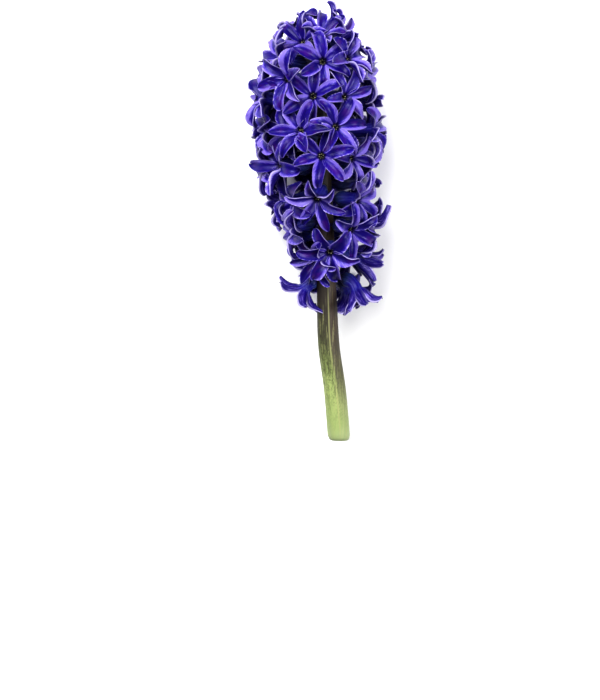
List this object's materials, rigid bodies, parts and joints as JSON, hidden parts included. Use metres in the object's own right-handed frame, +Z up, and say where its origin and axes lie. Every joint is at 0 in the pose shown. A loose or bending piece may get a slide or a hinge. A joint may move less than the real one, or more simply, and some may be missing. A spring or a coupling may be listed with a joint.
{
  "type": "hyacinth flower",
  "caption": "Picked hyacinth flower lying on its side: a dense spike of blue-violet star florets with curled-back tepals, on a thick, bare, cut stalk.",
  "frame": {"origin": "on the surface that the flower lies on, under the middle of the box round it", "axes": "+Y along the stalk towards the tip of the flower, +Z up, out of the side that the picture shows, +X to the right of the picture"},
  "size_m": [0.0826, 0.2746, 0.081],
  "materials": {
    "petals": "waxy satin, deep blue-violet with paler rims",
    "stalk": "smooth satin, purple-brown at the head fading to pale green at the cut"
  },
  "bodies": {
    "root": {"flower_head": "petals", "scape": "stalk"}
  },
  "joints": []
}
